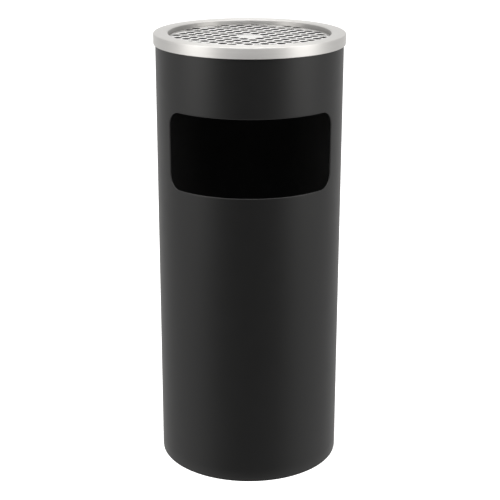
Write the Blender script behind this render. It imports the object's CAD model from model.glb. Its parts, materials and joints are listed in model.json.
"""Ashtray bin: the visible pieces, their materials, the studio and the camera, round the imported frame."""
import json
import math

import bmesh
import bpy
from mathutils import Matrix, Vector


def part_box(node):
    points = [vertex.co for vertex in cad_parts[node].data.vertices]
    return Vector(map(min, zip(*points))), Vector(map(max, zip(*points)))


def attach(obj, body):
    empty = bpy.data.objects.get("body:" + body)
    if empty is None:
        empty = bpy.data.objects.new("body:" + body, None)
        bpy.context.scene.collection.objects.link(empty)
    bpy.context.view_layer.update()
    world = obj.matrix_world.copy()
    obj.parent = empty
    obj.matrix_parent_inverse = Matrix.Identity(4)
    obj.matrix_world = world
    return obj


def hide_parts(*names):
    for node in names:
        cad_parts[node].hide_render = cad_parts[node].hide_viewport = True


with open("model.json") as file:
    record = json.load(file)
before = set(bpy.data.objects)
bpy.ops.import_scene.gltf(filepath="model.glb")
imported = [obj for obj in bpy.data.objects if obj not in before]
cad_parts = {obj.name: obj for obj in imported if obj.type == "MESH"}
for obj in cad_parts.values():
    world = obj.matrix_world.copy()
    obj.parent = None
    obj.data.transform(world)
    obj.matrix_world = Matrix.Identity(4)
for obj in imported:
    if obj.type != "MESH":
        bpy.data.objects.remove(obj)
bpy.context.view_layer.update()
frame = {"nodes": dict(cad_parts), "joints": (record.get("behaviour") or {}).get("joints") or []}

# ---- Sizes in metres. Places come from the CAD nodes' boxes, and these are what a box doesn't hold. ----

MM = 0.001
COLUMNS = 320           # steps round the bin
BEND_STEPS = 8          # steps in a bend
ON_AXIS = 1e-6          # a point this near to the axis is on it
BODY_SHEET = 0.8 * MM
OPENING_W = 250 * MM    # measured round the body
OPENING_H = 103 * MM
OPENING_Z = 405 * MM
OPENING_R = 20 * MM
HEM_W = 8 * MM
STEEL_SHEET = 0.8 * MM
LINER_SHEET = 0.7 * MM
LINER_PLAY = 0.05 * MM  # between the liner's bottom and its wall
HOLE_R = 5.8 * MM
HOLE_PITCH = 15 * MM
HOLE_ANGLE = math.radians(52)
BLANK_R = 20 * MM

# How bright the room is, from straight in front of the bin (0) to straight behind it (1), and what
# the ceiling and the floor add.
ROOM_LEVELS = [(0, 0.11), (0.13, 0.17), (0.3, 0.6), (0.5, 0.68), (0.77, 0.6), (0.9, 0.78), (1, 1)]
ROOM_OVERHEAD = 0.4
ROOM_BELOW = 0.8
LIGHTS_AIM_Z = 0.5


# ---- Profiles and meshes ----

def bend(before, corner, after, radius, steps=BEND_STEPS):
    """The points that round a corner of a path."""
    a = (before - corner).normalized()
    c = (after - corner).normalized()
    half = a.angle(c) / 2
    centre = corner + (a + c).normalized() * radius / math.sin(half)
    first = corner + a * radius / math.tan(half) - centre
    turn = -1 if a.x * c.y - a.y * c.x > 0 else 1
    sweep = turn * (math.pi - 2 * half)
    points = []
    for i in range(steps + 1):
        angle = sweep * i / steps
        points.append(centre + Vector((
            first.x * math.cos(angle) - first.y * math.sin(angle),
            first.x * math.sin(angle) + first.y * math.cos(angle))))
    return points


def bent(path, steps=BEND_STEPS):
    """A path of (radius, height) or (radius, height, bend radius) with its corners rounded."""
    places = [Vector(p[:2]) for p in path]
    points = []
    for i, p in enumerate(path):
        if len(p) == 2:
            points.append(places[i])
        else:
            points += bend(places[i - 1], places[i], places[i + 1], p[2], steps)
    return [p for i, p in enumerate(points) if i == 0 or (p - points[i - 1]).length > 1e-7]


def beside(points, off):
    """The same path moved to its left by off, with mitred corners."""
    moved = []
    last = len(points) - 1
    for i, p in enumerate(points):
        a = points[max(i, 1)] - points[max(i, 1) - 1]
        b = points[min(i, last - 1) + 1] - points[min(i, last - 1)]
        left_a = Vector((-a.y, a.x)).normalized()
        left_b = Vector((-b.y, b.x)).normalized()
        across = (left_a + left_b).normalized()
        moved.append(p + across * off / across.dot(left_a))
    return moved


def rounded_end(start, end, outward, steps=6):
    """Points between start and end on a half circle that bulges outward: a deburred sheet edge."""
    middle = (start + end) / 2
    reach = (start - end).length / 2
    points = []
    for i in range(1, steps):
        angle = math.pi * i / steps
        points.append(middle + (start - middle) * math.cos(angle) + outward * reach * math.sin(angle))
    return points


def sheet_profile(path, thickness, steps=BEND_STEPS):
    """The closed outline of a sheet whose middle follows the path. Free ends are rounded."""
    middle = bent(path, steps)
    left = beside(middle, thickness / 2)
    right = beside(middle, -thickness / 2)
    outline = list(left)
    if middle[-1].x > ON_AXIS:
        outline += rounded_end(left[-1], right[-1], (middle[-1] - middle[-2]).normalized())
    outline += reversed(right)
    if middle[0].x > ON_AXIS:
        outline += rounded_end(right[0], left[0], (middle[0] - middle[1]).normalized())
    return outline


def spin(vertices, outline, columns):
    """Adds a ring of vertices for each outline point; a point on the axis is a ring of one vertex."""
    rings = []
    for p in outline:
        ring = []
        if p.x < ON_AXIS:
            ring = [len(vertices)] * columns
            vertices.append((0, 0, p.y))
        else:
            for i in range(columns):
                angle = 2 * math.pi * i / columns
                ring.append(len(vertices))
                vertices.append((p.x * math.sin(angle), -p.x * math.cos(angle), p.y))
        rings.append(ring)
    return rings


def strip(faces, first, second, closed=True, keep=None):
    """Adds the faces between two rows of vertices."""
    count = len(first) if closed else len(first) - 1
    for i in range(count):
        if keep and not keep(i):
            continue
        j = (i + 1) % len(first)
        face = []
        for v in (first[i], first[j], second[j], second[i]):
            if v not in face:
                face.append(v)
        if len(face) > 2:
            faces.append(face)


def make_object(name, vertices, faces, sharp=35):
    """A smooth-shaded mesh object with its normals outward."""
    mesh = bpy.data.meshes.new(name)
    mesh.from_pydata([tuple(v) for v in vertices], [], faces)
    work = bmesh.new()
    work.from_mesh(mesh)
    bmesh.ops.recalc_face_normals(work, faces=work.faces)
    work.to_mesh(mesh)
    work.free()
    smooth(mesh, sharp)
    return linked(name, mesh)


def smooth(mesh, sharp):
    """Smooth shading, except over edges of more than sharp degrees."""
    mesh.polygons.foreach_set("use_smooth", [True] * len(mesh.polygons))
    mesh.set_sharp_from_angle(angle=math.radians(sharp))


def linked(name, data):
    """An object of a mesh, light or camera, in the scene."""
    made = bpy.data.objects.new(name, data)
    bpy.context.scene.collection.objects.link(made)
    return made


def mesh_of(name, work):
    """A mesh from a bmesh, which is freed."""
    mesh = bpy.data.meshes.new(name)
    work.to_mesh(mesh)
    work.free()
    return mesh


def spun(name, outline):
    """A solid of revolution from a closed outline."""
    vertices = []
    faces = []
    rings = spin(vertices, outline, COLUMNS)
    for k, ring in enumerate(rings):
        strip(faces, ring, rings[(k + 1) % len(rings)])
    return make_object(name, vertices, faces)


def spun_heads(name, profile, placings, sides=28):
    """Copies of a small spun profile. A placing gives the place of a point across, up and along its axis."""
    vertices = []
    faces = []
    for placing in placings:
        start = len(vertices)
        rings = spin(vertices, profile, sides)
        for a, b in zip(rings, rings[1:]):
            strip(faces, a, b)
        for i in range(start, len(vertices)):
            vertices[i] = placing(*vertices[i])
    return make_object(name, vertices, faces, 40)


def tube(name, path, radius, sides=20):
    """A round wire along a path of 3-D points, with rounded ends."""
    vertices = []
    faces = []
    rows = []
    side = None
    for i, p in enumerate(path):
        ahead = (path[min(i + 1, len(path) - 1)] - path[max(i - 1, 0)]).normalized()
        if side is None:
            side = ahead.orthogonal().normalized()
        side = (side - ahead * side.dot(ahead)).normalized()
        up = ahead.cross(side)
        row = []
        for j in range(sides):
            angle = 2 * math.pi * j / sides
            row.append(len(vertices))
            vertices.append(p + (side * math.cos(angle) + up * math.sin(angle)) * radius)
        rows.append(row)
    for a, b in zip(rows, rows[1:]):
        strip(faces, a, b)
    faces += [rows[0], rows[-1]]
    return make_object(name, vertices, faces, 50)


def finish_piece(piece, body, material, nodes=()):
    """Gives a piece its material, puts it on its body and lets it stand for CAD nodes."""
    piece.data.materials.clear()
    piece.data.materials.append(material)
    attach(piece, body)
    if nodes:
        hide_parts(*nodes)
    return piece


# ---- Materials ----

class Shader:
    """A material's node tree, with short calls to add nodes and links."""

    def __init__(self, name, **surface):
        self.material = bpy.data.materials.new(name)
        self.material.use_nodes = True
        self.tree = self.material.node_tree
        self.surface = self.tree.nodes["Principled BSDF"]
        for key, value in surface.items():
            self.surface.inputs[key.replace("_", " ")].default_value = value

    def node(self, kind, inputs=None, **settings):
        """A node of the kind. An input may be a value or another node's socket."""
        made = self.tree.nodes.new("ShaderNode" + kind)
        for key, value in settings.items():
            setattr(made, key, value)
        for key, value in (inputs or {}).items():
            if isinstance(value, bpy.types.NodeSocket):
                self.tree.links.new(value, made.inputs[key])
            else:
                made.inputs[key].default_value = value
        return made

    def math(self, operation, a, b=0.0):
        return self.node("Math", {0: a, 1: b}, operation=operation).outputs[0]

    def blend(self, a, b, share):
        """Share of a, and the rest of b."""
        return self.math("ADD", self.math("MULTIPLY", a, share), self.math("MULTIPLY", b, 1 - share))

    def places(self):
        return self.node("TexCoord").outputs["Object"]

    def noise(self, vector, scale, detail=3.0, roughness=0.55):
        inputs = {"Vector": vector, "Scale": scale, "Detail": detail, "Roughness": roughness}
        return self.node("TexNoise", inputs).outputs["Fac"]

    def spread(self, value, low, high):
        """The value from 0 to 1, spread over low to high."""
        return self.node("MapRange", {"Value": value, "To Min": low, "To Max": high}).outputs["Result"]

    def tint(self, value, dark, light):
        """A colour between dark and light."""
        made = self.node("Mix", {"Factor": value}, data_type="RGBA")
        made.inputs["A"].default_value = (*dark, 1)
        made.inputs["B"].default_value = (*light, 1)
        return made.outputs["Result"]

    def bump(self, height, strength, distance, normal=None):
        inputs = {"Height": height, "Strength": strength, "Distance": distance}
        if normal is not None:
            inputs["Normal"] = normal
        return self.node("Bump", inputs).outputs["Normal"]

    def drive(self, key, socket):
        self.tree.links.new(socket, self.surface.inputs[key])

    def round_axis(self, turn_scale, across_scale):
        """Places as (angle, radius, height) round Z, so that noise draws lines that circle the axis."""
        split = self.node("SeparateXYZ", {0: self.places()}).outputs
        angle = self.math("ARCTAN2", split["Y"], split["X"])
        square = self.math("ADD", self.math("MULTIPLY", split["X"], split["X"]),
                           self.math("MULTIPLY", split["Y"], split["Y"]))
        made = self.node("CombineXYZ", {
            "X": self.math("MULTIPLY", angle, turn_scale),
            "Y": self.math("MULTIPLY", self.math("SQRT", square), across_scale),
            "Z": self.math("MULTIPLY", split["Z"], across_scale)})
        return made.outputs[0]


def powder_coat():
    """Matte black powder coat: a fine orange peel, with faint changes of sheen."""
    s = Shader("black_powder_coat", Specular_IOR_Level=0.5)
    places = s.places()
    cloud = s.noise(places, scale=14, detail=4)
    sheen = s.noise(places, scale=40)
    peel = s.noise(places, scale=900, detail=2)
    grit = s.noise(places, scale=3200, detail=1)
    peeled = s.bump(peel, strength=0.16, distance=0.1 * MM)
    s.drive("Base Color", s.tint(cloud, dark=(0.0024, 0.0024, 0.0025), light=(0.0036, 0.0036, 0.0037)))
    s.drive("Roughness", s.spread(sheen, low=0.4, high=0.46))
    s.drive("Normal", s.bump(grit, strength=0.1, distance=0.05 * MM, normal=peeled))
    return s.material


def inner_coat():
    """The thin, duller coat inside the shell."""
    s = Shader("black_inner_coat", Specular_IOR_Level=0.12)
    places = s.places()
    cloud = s.noise(places, scale=30, detail=4)
    sheen = s.noise(places, scale=60)
    peel = s.noise(places, scale=1200, detail=2)
    s.drive("Base Color", s.tint(cloud, dark=(0.034, 0.034, 0.034), light=(0.044, 0.044, 0.044)))
    s.drive("Roughness", s.spread(sheen, low=0.6, high=0.75))
    s.drive("Normal", s.bump(peel, strength=0.2, distance=0.1 * MM))
    return s.material


def brushed_steel(name, dark, light, roughness):
    """Stainless sheet brushed round the axis."""
    s = Shader(name, Metallic=1.0, Anisotropic=0.66, Anisotropic_Rotation=0.25)
    fine = s.noise(s.round_axis(turn_scale=5, across_scale=2600), scale=1, detail=2)
    broad = s.noise(s.round_axis(turn_scale=1.4, across_scale=520), scale=1)
    lines = s.blend(fine, broad, share=0.6)
    s.drive("Base Color", s.tint(lines, dark, light))
    s.drive("Roughness", s.spread(lines, low=roughness, high=roughness + 0.12))
    s.drive("Normal", s.bump(lines, strength=0.12, distance=0.04 * MM))
    s.drive("Tangent", s.node("Tangent", direction_type="RADIAL", axis="Z").outputs[0])
    return s.material


def grid_steel():
    """Punched stainless plate with a satin, slightly cloudy face."""
    s = Shader("grid_stainless", Metallic=1.0)
    places = s.places()
    rolled = s.node("Mapping", {"Vector": places, "Scale": (1.0, 14.0, 1.0)}).outputs[0]
    grain = s.noise(rolled, scale=170, detail=4)
    cloud = s.noise(places, scale=60, detail=4)
    s.drive("Base Color", s.tint(grain, dark=(0.84, 0.835, 0.825), light=(0.93, 0.925, 0.915)))
    s.drive("Roughness", s.spread(cloud, low=0.2, high=0.32))
    s.drive("Normal", s.bump(grain, strength=0.1, distance=0.05 * MM))
    return s.material


def ash_stained_steel():
    """The bowl's inside under the grid: dull steel, darkened by patches of soot."""
    s = Shader("stained_stainless", Metallic=0.75)
    places = s.places()
    soot = s.noise(places, scale=45, detail=5, roughness=0.65)
    s.drive("Base Color", s.tint(soot, dark=(0.035, 0.033, 0.031), light=(0.09, 0.087, 0.082)))
    s.drive("Roughness", s.spread(soot, low=0.75, high=0.45))
    s.drive("Normal", s.bump(soot, strength=0.3, distance=0.3 * MM))
    return s.material


def galvanised():
    """Hot-dip galvanised sheet: crystals of zinc that each catch the light in their own way."""
    s = Shader("galvanised_sheet", Metallic=1.0)
    places = s.places()
    wobble = s.node("TexNoise", {"Vector": places, "Scale": 55.0, "Detail": 2.0}).outputs["Color"]
    shifted = s.node("MixRGB", {"Fac": 0.012, "Color1": places, "Color2": wobble}).outputs[0]
    crystals = s.node("TexVoronoi", {"Vector": shifted, "Scale": 95.0}).outputs["Color"]
    shade = s.node("SeparateColor", {0: crystals}).outputs
    frost = s.noise(places, scale=700)
    mottle = s.blend(shade[0], frost, share=0.8)
    facets = s.bump(shade[2], strength=0.06, distance=0.2 * MM)
    s.drive("Base Color", s.tint(mottle, dark=(0.34, 0.355, 0.375), light=(0.58, 0.6, 0.62)))
    s.drive("Roughness", s.spread(shade[1], low=0.36, high=0.6))
    s.drive("Normal", s.bump(frost, strength=0.15, distance=0.1 * MM, normal=facets))
    return s.material


def zinc_wire():
    """Zinc-plated drawn wire."""
    s = Shader("steel_wire", Metallic=1.0)
    places = s.places()
    drawn = s.noise(places, scale=420)
    sheen = s.noise(places, scale=120)
    s.drive("Base Color", s.tint(drawn, dark=(0.4, 0.41, 0.42), light=(0.58, 0.585, 0.59)))
    s.drive("Roughness", s.spread(sheen, low=0.28, high=0.46))
    s.drive("Normal", s.bump(drawn, strength=0.15, distance=0.1 * MM))
    return s.material


def black_rubber():
    """Matte moulded rubber."""
    s = Shader("black_rubber", Specular_IOR_Level=0.25)
    places = s.places()
    cloud = s.noise(places, scale=50, detail=4)
    sheen = s.noise(places, scale=90)
    grain = s.noise(places, scale=1500, detail=2)
    s.drive("Base Color", s.tint(cloud, dark=(0.006, 0.006, 0.006), light=(0.012, 0.012, 0.012)))
    s.drive("Roughness", s.spread(sheen, low=0.7, high=0.85))
    s.drive("Normal", s.bump(grain, strength=0.3, distance=0.1 * MM))
    return s.material


# ---- Body ----

def wrapped(s, z, depth, body_r):
    """The point that lies s round the body from the front, at the height z, and depth inside its face."""
    angle = s / body_r
    reach = body_r - depth
    return Vector((reach * math.sin(angle), -reach * math.cos(angle), z))


def opening_edge(s, z, grow):
    """The point of the opening's outline, larger by grow, that faces the flat point (s, z)."""
    core_s = max(-OPENING_W / 2 + OPENING_R, min(OPENING_W / 2 - OPENING_R, s))
    core_z = max(OPENING_Z + OPENING_R, min(OPENING_Z + OPENING_H - OPENING_R, z))
    away = Vector((s - core_s, z - core_z)).normalized()
    return Vector((core_s, core_z)) + away * (OPENING_R + grow)


def body_shell(material, inner_material):
    """The rolled shell as one skin: wall, lip at the top, and the sheet folded back round the opening."""
    low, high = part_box("body_shell")
    body_r = high.x
    middle_r = body_r - BODY_SHEET / 2
    top_z = high.z - BODY_SHEET / 2
    lip_w = 4 * MM
    lip_bend = 1.7 * MM
    margin = 30 * MM
    plain_rows = 24
    patch_rows = 40
    above_rows = 8
    fold_steps = 12
    patch_half = round((OPENING_W / 2 + margin) / (2 * math.pi * body_r / COLUMNS))
    patch_low = OPENING_Z - margin
    patch_high = OPENING_Z + OPENING_H + margin
    wall_top = top_z - 6 * MM

    def up_the_wall(start, end, rows, counted):
        """Points on the wall at those of the rows from start to end that are counted."""
        return [(middle_r, start + (end - start) * i / rows) for i in counted]

    plain = up_the_wall(low.z, patch_low, plain_rows, range(plain_rows))
    patch = up_the_wall(patch_low, patch_high, patch_rows, range(patch_rows + 1))
    above = up_the_wall(patch_high, wall_top, above_rows, range(1, above_rows + 1))
    lip = [(middle_r, top_z, lip_bend), (middle_r - lip_w, top_z, lip_bend)]
    lip.append((middle_r - lip_w, top_z - lip_w))
    path = plain + patch + above + lip
    middle = bent(path)
    outline = sheet_profile(path, BODY_SHEET)
    first = len(plain)
    count = len(middle)
    caps = (len(outline) - 2 * count) // 2
    # The outline goes up the inside, over the end of the lip and down the outside.
    inside = {k: first + k for k in range(patch_rows + 1)}
    outside = {k: 2 * count + caps - 1 - (first + k) for k in range(patch_rows + 1)}

    vertices = []
    faces = []
    rings = spin(vertices, outline, COLUMNS)

    def outside_patch(column):
        turned = (column + COLUMNS // 2) % COLUMNS - COLUMNS // 2
        return not -patch_half <= turned < patch_half

    in_patch = {inside[k] for k in range(patch_rows)} | {outside[k + 1] for k in range(patch_rows)}
    for k, ring in enumerate(rings):
        keep = outside_patch if k in in_patch else None
        strip(faces, ring, rings[(k + 1) % len(rings)], keep=keep)

    # The patch's rim, anticlockwise from its lower left corner, as (column, row).
    rim = [(c, 0) for c in range(-patch_half, patch_half)]
    rim += [(patch_half, r) for r in range(patch_rows)]
    rim += [(c, patch_rows) for c in range(patch_half, -patch_half, -1)]
    rim += [(-patch_half, r) for r in range(patch_rows, 0, -1)]

    def flat(column, row):
        return Vector((2 * math.pi * body_r * column / COLUMNS, patch[row][1]))

    def loop_at(grow, depth, share):
        """A loop round the opening, larger by grow, and that share of the way out to the patch's rim."""
        row = []
        for c, r in rim:
            edge = opening_edge(*flat(c, r), grow)
            at = edge + (flat(c, r) - edge) * share
            row.append(len(vertices))
            vertices.append(wrapped(at.x, at.y, depth, body_r))
        return row

    # From the wall's face in to the opening, round the fold, along the hem and out along the inside.
    fold = BODY_SHEET
    hem_edge = 0.2 * MM
    loops = [[rings[outside[r]][c % COLUMNS] for c, r in rim]]
    for share in (0.8, 0.6, 0.42, 0.28, 0.16, 0.07, 0):
        loops.append(loop_at(fold, 0, share))
    for i in range(1, fold_steps):
        angle = math.pi * i / fold_steps
        loops.append(loop_at(fold * (1 - math.sin(angle)), fold * (1 - math.cos(angle)), 0))
    for grow in (fold, HEM_W / 2, HEM_W - hem_edge):
        loops.append(loop_at(grow, 2 * BODY_SHEET, 0))
    for sheets in (1.8, 1.05):
        loops.append(loop_at(HEM_W, sheets * BODY_SHEET, 0))
    for share in (0.01, 0.2, 0.5, 0.75):
        loops.append(loop_at(HEM_W, BODY_SHEET, share))
    loops.append([rings[inside[r]][c % COLUMNS] for c, r in rim])
    for a, b in zip(loops, loops[1:]):
        strip(faces, a, b)

    # The butt weld up the back, ground nearly flush.
    weld = COLUMNS // 2
    crest = 0.16 * MM
    flank = 0.05 * MM
    for k in range(outside[0] - count + 1, outside[0] + 1):
        for column, height in ((weld, crest), (weld - 1, flank), (weld + 1, flank)):
            v = rings[k][column]
            x, y, z = vertices[v]
            vertices[v] = (x, y - height, z)

    piece = make_object("shell", vertices, faces)
    finish_piece(piece, "body", material, ["body_shell"])
    piece.data.materials.append(inner_material)
    for p in piece.data.polygons:
        if math.hypot(p.center.x, p.center.y) < body_r - 0.6 * BODY_SHEET and p.center.z < top_z - lip_w:
            p.material_index = 1
    return piece


def base_plate(material):
    """The pressed base with its well, inside the foot of the shell."""
    low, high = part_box("base_plate")
    sheet = 1.2 * MM
    middle_r = high.x - sheet / 2
    top = high.z - sheet / 2
    rim_bend = 3 * MM
    well_r = 75 * MM
    well_bend = 2 * MM
    drop = 3 * MM
    path = [(middle_r, low.z + sheet / 4), (middle_r, top, rim_bend), (well_r + drop, top, well_bend),
            (well_r, top - drop, well_bend), (0, top - drop)]
    piece = spun("base_pan", sheet_profile(path, sheet))
    return finish_piece(piece, "body", material, ["base_plate"])


def base_ring(material):
    """The rubber ring between the shell and the floor, an L in section with soft edges."""
    low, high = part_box("base_ring")
    foot_r = high.x
    foot_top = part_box("body_shell")[0].z
    step_w = 2.15 * MM
    leg_w = 3.5 * MM
    leg_out = foot_r - step_w
    leg_in = leg_out - leg_w
    soft = 0.5 * MM
    step_soft = 0.3 * MM
    path = [(leg_in, low.z + 1 * MM), (leg_in, low.z, soft), (foot_r, low.z, soft)]
    path += [(foot_r, foot_top, step_soft), (leg_out, foot_top), (leg_out, high.z, soft)]
    path += [(leg_in, high.z, soft), (leg_in, high.z - 2 * MM)]
    piece = spun("foot_ring", bent(path, 4))
    return finish_piece(piece, "body", material, ["base_ring"])


# ---- Ash bowl and grid ----

def ash_bowl(material, dull, stained):
    """The spun bowl in one sheet: hemmed skirt, crowned rim, wall, seat and well."""
    low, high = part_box("ash_bowl")
    half = STEEL_SHEET / 2
    hem = 1.1 * half
    hem_h = 5 * MM
    crown_drop = 0.7 * MM
    skirt_h = 13.8 * MM
    rim_w = 19.2 * MM
    wall_lean = 0.6 * MM
    seat_w = 5 * MM
    well_lean = 1.5 * MM
    grid_play = 0.1 * MM
    flat_r = 40 * MM

    skirt_r = high.x - half
    hem_r = skirt_r - 2 * hem
    crown_r = high.x - rim_w / 2
    inner_r = high.x - rim_w
    seat_r = inner_r - wall_lean
    well_r = seat_r - seat_w
    crown_z = high.z - half
    rim_edge_z = crown_z - crown_drop
    foot_z = rim_edge_z - skirt_h
    seat_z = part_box("ash_grid")[0].z - grid_play - half
    floor_z = low.z + half
    skirt = [(hem_r, foot_z + hem_h), (hem_r, foot_z, hem), (skirt_r, foot_z, hem)]
    rim = [(skirt_r, rim_edge_z, 1.5 * MM), (crown_r, crown_z, 30 * MM)]
    rim.append((inner_r, crown_z - 0.3 * MM, 3 * MM))
    seat = [(seat_r, seat_z, 1.2 * MM), (well_r, seat_z, 2 * MM)]
    well = [(well_r - well_lean, floor_z, 8 * MM), (flat_r, floor_z), (0, floor_z)]
    path = skirt + rim + seat + well
    piece = spun("ash_bowl_steel", sheet_profile(path, STEEL_SHEET))
    finish_piece(piece, "ash_bowl", material, ["ash_bowl"])
    piece.data.materials.append(dull)
    piece.data.materials.append(stained)
    # Only faces that look in or up change: the well is stained, and the wall and seat above it are dull.
    for p in piece.data.polygons:
        radius = math.hypot(p.center.x, p.center.y)
        outward = (p.normal.x * p.center.x + p.normal.y * p.center.y) / max(radius, MM)
        inside = outward < 0.3 and p.normal.z > -0.5
        if inside and radius < well_r and p.center.z < seat_z + half:
            p.material_index = 2
        elif inside and radius < inner_r and p.center.z > seat_z:
            p.material_index = 1
    return piece


def hole_centres(plate_r):
    """The grid's holes: a square pattern centred between four holes, and turned on its seat."""
    border = 1.5 * MM
    field_r = plate_r - HOLE_R - border
    reach = math.ceil(field_r / HOLE_PITCH)
    centres = []
    for i in range(-reach, reach + 1):
        for j in range(-reach, reach + 1):
            at = Vector((i + 0.5, j + 0.5)) * HOLE_PITCH
            if BLANK_R < at.length < field_r:
                at.rotate(Matrix.Rotation(HOLE_ANGLE, 2))
                centres.append(at)
    return centres


def ash_grid(material, stained):
    """The perforated plate. Punched edges are rounded over, and soot darkens the holes and the underside."""
    low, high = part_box("ash_grid")
    edge = 0.15 * MM
    edge_steps = 3
    hole_sides = 28
    work = bmesh.new()
    plates = {"top": [], "bottom": []}

    def ring(centre, radius, z, steps):
        made = []
        for i in range(steps):
            angle = 2 * math.pi * i / steps
            x = centre.x + radius * math.cos(angle)
            y = centre.y + radius * math.sin(angle)
            made.append(work.verts.new((x, y, z)))
        return made

    def bridge(a, b):
        for i in range(len(a)):
            j = (i + 1) % len(a)
            work.faces.new((a[i], a[j], b[j], b[i]))

    def wall(centre, radius, outward, steps):
        """The rounded edge of a hole, or of the plate where outward is 1."""
        rings = []
        for z, side in ((high.z, 1), (low.z, -1)):
            stretch = []
            for k in range(edge_steps + 1):
                angle = math.pi / 2 * k / edge_steps
                r = radius - outward * edge * (1 - math.sin(angle))
                stretch.append(ring(centre, r, z - side * edge * (1 - math.cos(angle)), steps))
            rings += stretch if side > 0 else stretch[::-1]
        for a, b in zip(rings, rings[1:]):
            bridge(a, b)
        for key, loop in (("top", rings[0]), ("bottom", rings[-1])):
            for i in range(steps):
                plates[key].append(work.edges.get((loop[i], loop[(i + 1) % steps])))

    wall(Vector((0, 0)), high.x, 1, COLUMNS // 2)
    for at in hole_centres(high.x):
        wall(at, HOLE_R, -1, hole_sides)
    for edges in plates.values():
        bmesh.ops.triangle_fill(work, use_beauty=True, edges=edges)
    bmesh.ops.recalc_face_normals(work, faces=work.faces)
    mesh = mesh_of("grid_plate", work)
    smooth(mesh, 40)
    piece = linked("grid_plate", mesh)
    finish_piece(piece, "ash_grid", material, ["ash_grid"])
    piece.data.materials.append(stained)
    for p in mesh.polygons:
        in_hole = math.hypot(p.center.x, p.center.y) < high.x - 1 * MM
        if in_hole and abs(p.normal.z) < 0.5 or p.center.z < low.z + edge / 2:
            p.material_index = 1
    return piece


# ---- Liner ----

def liner_wall(material):
    """The rolled wall: the pocket for the bottom, and the curl over the rim wire."""
    low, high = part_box("liner_wall")
    curl = 1.3 * MM
    half = LINER_SHEET / 2
    wall_r = high.x - 2 * curl - 2 * half
    curl_top = high.z - half
    curl_low = curl_top - 2 * curl
    foot = low.z + half
    pocket_w = 2.1 * MM
    pocket_h = 4.6 * MM
    pocket_bend = 0.9 * MM
    path = [(wall_r - pocket_w, foot + pocket_h), (wall_r - pocket_w, foot, pocket_bend)]
    path += [(wall_r, foot, pocket_bend), (wall_r, curl_top, curl), (wall_r + 2 * curl, curl_top, curl)]
    path += [(wall_r + 2 * curl, curl_low, curl), (wall_r + 0.9 * curl, curl_low)]
    piece = spun("bucket_wall", sheet_profile(path, LINER_SHEET, 5))
    return finish_piece(piece, "liner", material, ["liner_wall"])


def liner_seam(material):
    """The lock seam up the bucket: a folded strip, rounded along both sides and pinched at its ends."""
    low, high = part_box("liner_wall")
    wall_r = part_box("liner_bottom")[1].x + LINER_PLAY + LINER_SHEET
    seam_angle = math.radians(55)
    half_w = 3 * MM
    rise = 0.7 * MM
    sunk = 0.2 * MM
    root = 0.25 * MM
    pinch = 0.35
    steps = 6
    bands = 12
    vertices = []
    rows = []
    heights = [low.z + 3 * MM, low.z + 4 * MM, low.z + 6 * MM]
    heights += [low.z + (high.z - low.z) * i / bands for i in range(1, bands)]
    heights += [high.z - 9 * MM, high.z - 7 * MM, high.z - 6 * MM]
    for n, z in enumerate(heights):
        fullness = pinch if n in (0, len(heights) - 1) else 1
        row = []
        for k in range(-steps, steps + 1):
            share = k / steps
            lift = rise * fullness * (1 - abs(share) ** 5)
            angle = seam_angle + half_w * share / wall_r
            reach = wall_r + lift - (0 if abs(share) < 1 else sunk)
            row.append(len(vertices))
            vertices.append((reach * math.cos(angle), reach * math.sin(angle), z))
        inner = wall_r - root
        for side in (1, -1):
            angle = seam_angle + side * half_w / wall_r
            row.append(len(vertices))
            vertices.append((inner * math.cos(angle), inner * math.sin(angle), z))
        rows.append(row)
    faces = [rows[0], rows[-1]]
    for a, b in zip(rows, rows[1:]):
        strip(faces, a, b)
    piece = make_object("bucket_seam", vertices, faces, 45)
    return finish_piece(piece, "liner", material)


def liner_bottom(material):
    """The pressed bottom, with a ring of stiffening set into it."""
    low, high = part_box("liner_bottom")
    half = LINER_SHEET / 2
    rim_r = high.x - half
    top = high.z - half
    set_in = 0.8 * MM
    rim_bend = 1.6 * MM
    soft = 1.5 * MM
    slope_w = 3 * MM
    floor_w = 6 * MM
    ring_r = 0.7 * rim_r
    path = [(rim_r, low.z + half), (rim_r, top, rim_bend), (ring_r + slope_w, top, soft)]
    path += [(ring_r, top - set_in, soft), (ring_r - floor_w, top - set_in, soft)]
    path += [(ring_r - floor_w - slope_w, top, soft), (0, top)]
    piece = spun("bucket_bottom", sheet_profile(path, LINER_SHEET))
    return finish_piece(piece, "liner", material, ["liner_bottom"])


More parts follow.
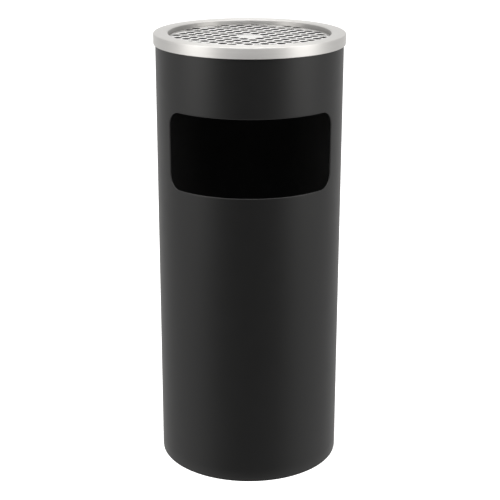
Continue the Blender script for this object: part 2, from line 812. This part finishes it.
def liner_ear(name, node, side, material):
    """One ear: a round-ended plate that follows the wall, with soft edges and a hole for the bail."""
    low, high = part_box(node)
    centre_z = (low.z + high.z) / 2
    outer_r = max(abs(low.x), abs(high.x))
    thickness = 1.5 * MM
    round_r = (high.z - low.z) / 2
    end_y = high.y - round_r
    hole_r = 2.08 * MM
    edge = 0.35 * MM
    steps = 72
    vertices = []
    loops = []

    def outline_point(angle, inset):
        """The plate's outline, inset by that much, in the direction of the angle."""
        away = Vector((math.cos(angle), math.sin(angle)))
        reach = round_r - inset
        flat = reach / max(abs(away.y), 1e-6)
        if flat * abs(away.x) <= end_y:
            return away * flat
        along = abs(away.x) * end_y + math.sqrt((abs(away.x) * end_y) ** 2 + reach ** 2 - end_y ** 2)
        return away * along

    def add_loop(inset, depth, share):
        """A loop between the outline, at share 0, and the hole, at share 1."""
        row = []
        for i in range(steps):
            angle = 2 * math.pi * i / steps
            away = Vector((math.cos(angle), math.sin(angle)))
            rim = outline_point(angle, inset)
            at = rim + (away * (hole_r + inset) - rim) * share
            radius = outer_r - depth
            turn = at.x / outer_r
            row.append(len(vertices))
            vertices.append((side * radius * math.cos(turn), radius * math.sin(turn), centre_z + at.y))
        loops.append(row)

    for share in (0, 0.25, 0.5, 0.75, 1):
        add_loop(edge, 0, share)
    add_loop(0, edge, 1)
    add_loop(0, thickness - edge, 1)
    for share in (1, 0.75, 0.5, 0.25, 0):
        add_loop(edge, thickness, share)
    add_loop(0, thickness - edge, 0)
    add_loop(0, edge, 0)
    faces = []
    for k, row in enumerate(loops):
        strip(faces, row, loops[(k + 1) % len(loops)])
    piece = make_object(name, vertices, faces, 30)
    return finish_piece(piece, "liner", material, [node])


def ear_rivets(material):
    """Four domed rivets through the ears and the wall."""
    low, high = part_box("ear_rivets")
    z = (low.z + high.z) / 2
    head_r = (high.z - low.z) / 2
    shank_r = 1.6 * MM
    ear_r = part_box("liner_ear_right")[1].x
    wall_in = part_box("liner_bottom")[1].x
    spread = math.radians(7.5)
    dome = 1.2 * MM
    dome_foot = ear_r + 0.1 * MM
    dome_steps = 8
    profile = [Vector((0, wall_in - dome))]
    for share in (0.55, 0.85, 1):
        profile.append(Vector((head_r * share, wall_in - dome * math.sqrt(1 - share ** 2 * 0.9))))
    profile += [Vector((shank_r, wall_in)), Vector((shank_r, ear_r))]
    for k in range(dome_steps):
        angle = math.pi / 2 * k / dome_steps
        profile.append(Vector((head_r * math.cos(angle), dome_foot + dome * math.sin(angle))))
    profile.append(Vector((0, dome_foot + dome)))

    def facing(angle):
        along = Vector((math.cos(angle), math.sin(angle), 0))
        across = Vector((-along.y, along.x, 0))
        return lambda x, y, reach: along * reach + across * x + Vector((0, 0, z + y))

    placings = [facing(ear + turn) for ear in (0, math.pi) for turn in (-spread, spread)]
    piece = spun_heads("ear_rivet_set", profile, placings)
    return finish_piece(piece, "liner", material, ["ear_rivets"])


def bail(material):
    """The wire handle: a bow round the bucket, bent in at both knees and headed inside the wall."""
    pivot = Vector(next(j for j in frame["joints"] if j["name"] == "bail_swing")["pos_m"])
    wire_r = 2 * MM
    bow_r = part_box("bail")[1].x - wire_r
    knee = 3.4 * MM
    knee_steps = 12
    bow_steps = 90
    droop = math.radians(14)
    knee_x = math.sqrt((bow_r - knee) ** 2 - knee ** 2)
    knee_angle = math.atan2(knee, knee_x)
    head_r = 3.4 * MM
    head_t = 1.2 * MM
    head_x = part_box("liner_bottom")[1].x - 1.55 * MM
    flat = [Vector((head_x + head_t / 2, 0, 0)), Vector(((head_x + knee_x) / 2, 0, 0))]
    for i in range(knee_steps + 1):
        angle = math.pi / 2 - (math.pi / 2 + knee_angle) * i / knee_steps
        flat.append(Vector((knee_x + knee * math.cos(angle), -knee + knee * math.sin(angle), 0)))
    half_bow = math.pi / 2 - knee_angle
    for i in range(1, bow_steps // 2):
        angle = -knee_angle - half_bow * 2 * i / bow_steps
        flat.append(Vector((bow_r * math.cos(angle), bow_r * math.sin(angle), 0)))
    flat.append(Vector((0, -bow_r, 0)))
    path = flat + [Vector((-p.x, p.y, 0)) for p in reversed(flat[:-1])]

    def placed(p):
        return pivot + Vector((p.x, p.y * math.cos(droop), p.y * math.sin(droop)))

    wire = tube("bail_wire", [placed(p) for p in path], wire_r)
    profile = [Vector((0, 0)), Vector((head_r * 0.7, 0.05 * MM)), Vector((head_r * 0.93, 0.25 * MM))]
    profile += [Vector((head_r, head_t / 2)), Vector((head_r * 0.93, 1.0 * MM))]
    profile += [Vector((head_r * 0.7, head_t)), Vector((0, head_t))]

    def on_side(side):
        return lambda x, y, reach: pivot + Vector((side * (head_x + reach), x, y))

    heads = spun_heads("bail_heads", profile, [on_side(1), on_side(-1)])
    finish_piece(heads, "bail", material)
    return finish_piece(wire, "bail", material, ["bail"])


# ---- Studio ----

def glowing(name, colour, strength, diffuse=None):
    """A stage material that shines, and where diffuse is given also takes light."""
    material = bpy.data.materials.new(name)
    material.use_nodes = True
    surface = material.node_tree.nodes["Principled BSDF"]
    surface.inputs["Base Color"].default_value = (*(diffuse or (0, 0, 0)), 1)
    surface.inputs["Roughness"].default_value = 0.9
    surface.inputs["Specular IOR Level"].default_value = 0
    surface.inputs["Emission Color"].default_value = (*colour, 1)
    surface.inputs["Emission Strength"].default_value = strength
    return material


def seen_by_camera_only(thing):
    thing.visible_diffuse = False
    thing.visible_glossy = False
    thing.visible_transmission = False
    thing.visible_shadow = False


def studio_room():
    """A plain pale floor that runs out to a plain pale backdrop."""
    work = bmesh.new()
    bmesh.ops.create_circle(work, cap_ends=True, segments=96, radius=7.5)
    floor = linked("floor", mesh_of("floor", work))
    work = bmesh.new()
    bmesh.ops.create_icosphere(work, subdivisions=4, radius=8)
    backdrop = linked("backdrop", mesh_of("backdrop", work))
    floor.data.materials.append(glowing("pale_floor", (1, 1, 1), 0.72, (0.75, 0.75, 0.75)))
    backdrop.data.materials.append(glowing("pale_backdrop", (1, 1, 1), 1.05))
    for thing in (floor, backdrop):
        seen_by_camera_only(thing)


def surround():
    """The light of the room, by direction: dim in front, brighter at the sides, behind, above and below."""
    world = bpy.data.worlds.new("room_light")
    bpy.context.scene.world = world
    world.use_nodes = True
    tree = world.node_tree
    places = tree.nodes.new("ShaderNodeTexCoord")
    split = tree.nodes.new("ShaderNodeSeparateXYZ")
    tree.links.new(places.outputs["Generated"], split.inputs[0])

    def rising(axis, low, high, top=1.0):
        """From 0 at low to top at high, along one axis of the direction."""
        ranged = tree.nodes.new("ShaderNodeMapRange")
        ranged.inputs["From Min"].default_value = low
        ranged.inputs["From Max"].default_value = high
        ranged.inputs["To Max"].default_value = top
        tree.links.new(split.outputs[axis], ranged.inputs["Value"])
        return ranged.outputs["Result"]

    def added(a, b):
        total = tree.nodes.new("ShaderNodeMath")
        tree.links.new(a, total.inputs[0])
        tree.links.new(b, total.inputs[1])
        return total.outputs[0]

    level = tree.nodes.new("ShaderNodeValToRGB")
    level.color_ramp.interpolation = "EASE"
    stops = level.color_ramp.elements
    while len(stops) > 1:
        stops.remove(stops[-1])
    for i, (place, strength) in enumerate(ROOM_LEVELS):
        stop = stops[0] if i == 0 else stops.new(place)
        stop.position = place
        stop.color = (strength, strength, strength, 1)
    tree.links.new(rising("Y", low=-1, high=1), level.inputs["Fac"])
    above = rising("Z", low=0.3, high=0.85, top=ROOM_OVERHEAD)
    below = rising("Z", low=-0.6, high=-0.95, top=ROOM_BELOW)
    background = tree.nodes["Background"]
    tree.links.new(added(level.outputs["Color"], added(above, below)), background.inputs["Strength"])
    background.inputs["Color"].default_value = (1, 0.995, 0.985, 1)


def softbox(name, azimuth, distance, height, width, tall, power, colour=(1, 1, 1)):
    """A rectangular area light that faces the bin; azimuth 0 is in front, and 90 to the right."""
    data = bpy.data.lights.new(name, "AREA")
    data.shape = "RECTANGLE"
    data.size = width
    data.size_y = tall
    data.energy = power
    data.color = colour
    light = linked(name, data)
    angle = math.radians(azimuth)
    light.location = (distance * math.sin(angle), -distance * math.cos(angle), height)
    light.rotation_mode = "QUATERNION"
    aim = Vector((0, 0, LIGHTS_AIM_Z)) - light.location
    light.rotation_quaternion = aim.to_track_quat("-Z", "Y")


def lights():
    """A tall warm softbox on each side, and a wide one above and in front."""
    warm = (1, 0.985, 0.96)
    for name, azimuth, power in (("left_softbox", -62, 16), ("right_softbox", 62, 16.5)):
        softbox(name, azimuth, distance=1.9, height=1.12, width=1.3, tall=1.9, power=power, colour=warm)
    softbox("top_softbox", azimuth=0, distance=1.3, height=2.3, width=2.4, tall=1.0, power=26)


def camera():
    """The photograph's view: a long lens, a little above the rim and looking down."""
    distance = 1.69
    height = 0.861
    orbit = math.radians(-1.1)
    pitch = math.radians(18.525)
    roll = math.radians(-0.11)
    data = bpy.data.cameras.new("camera")
    data.sensor_width = 36
    data.lens = 91.8
    data.dof.use_dof = False
    made = linked("camera", data)
    made.location = (distance * math.sin(orbit), -distance * math.cos(orbit), height)
    made.rotation_euler = (math.pi / 2 - pitch, roll, orbit)
    bpy.context.scene.camera = made


# ---- The whole scene ----

coat = powder_coat()
inner = inner_coat()
steel = brushed_steel("brushed_stainless", (0.66, 0.65, 0.635), (0.78, 0.77, 0.755), 0.48)
dull_steel = brushed_steel("dull_stainless", (0.35, 0.345, 0.335), (0.45, 0.44, 0.43), 0.42)
stained = ash_stained_steel()
zinc = galvanised()
wire = zinc_wire()

body_shell(coat, inner)
base_plate(inner)
base_ring(black_rubber())
ash_bowl(steel, dull_steel, stained)
ash_grid(grid_steel(), stained)
liner_wall(zinc)
liner_seam(zinc)
liner_bottom(zinc)
liner_ear("bucket_ear_left", "liner_ear_left", -1, zinc)
liner_ear("bucket_ear_right", "liner_ear_right", 1, zinc)
ear_rivets(wire)
bail(wire)
rim_wire = frame["nodes"]["liner_rim_wire"].data
rim_wire.materials.clear()
rim_wire.materials.append(wire)

studio_room()
surround()
lights()
camera()
scene = bpy.context.scene
scene.view_settings.view_transform = "Standard"
scene.view_settings.look = "None"
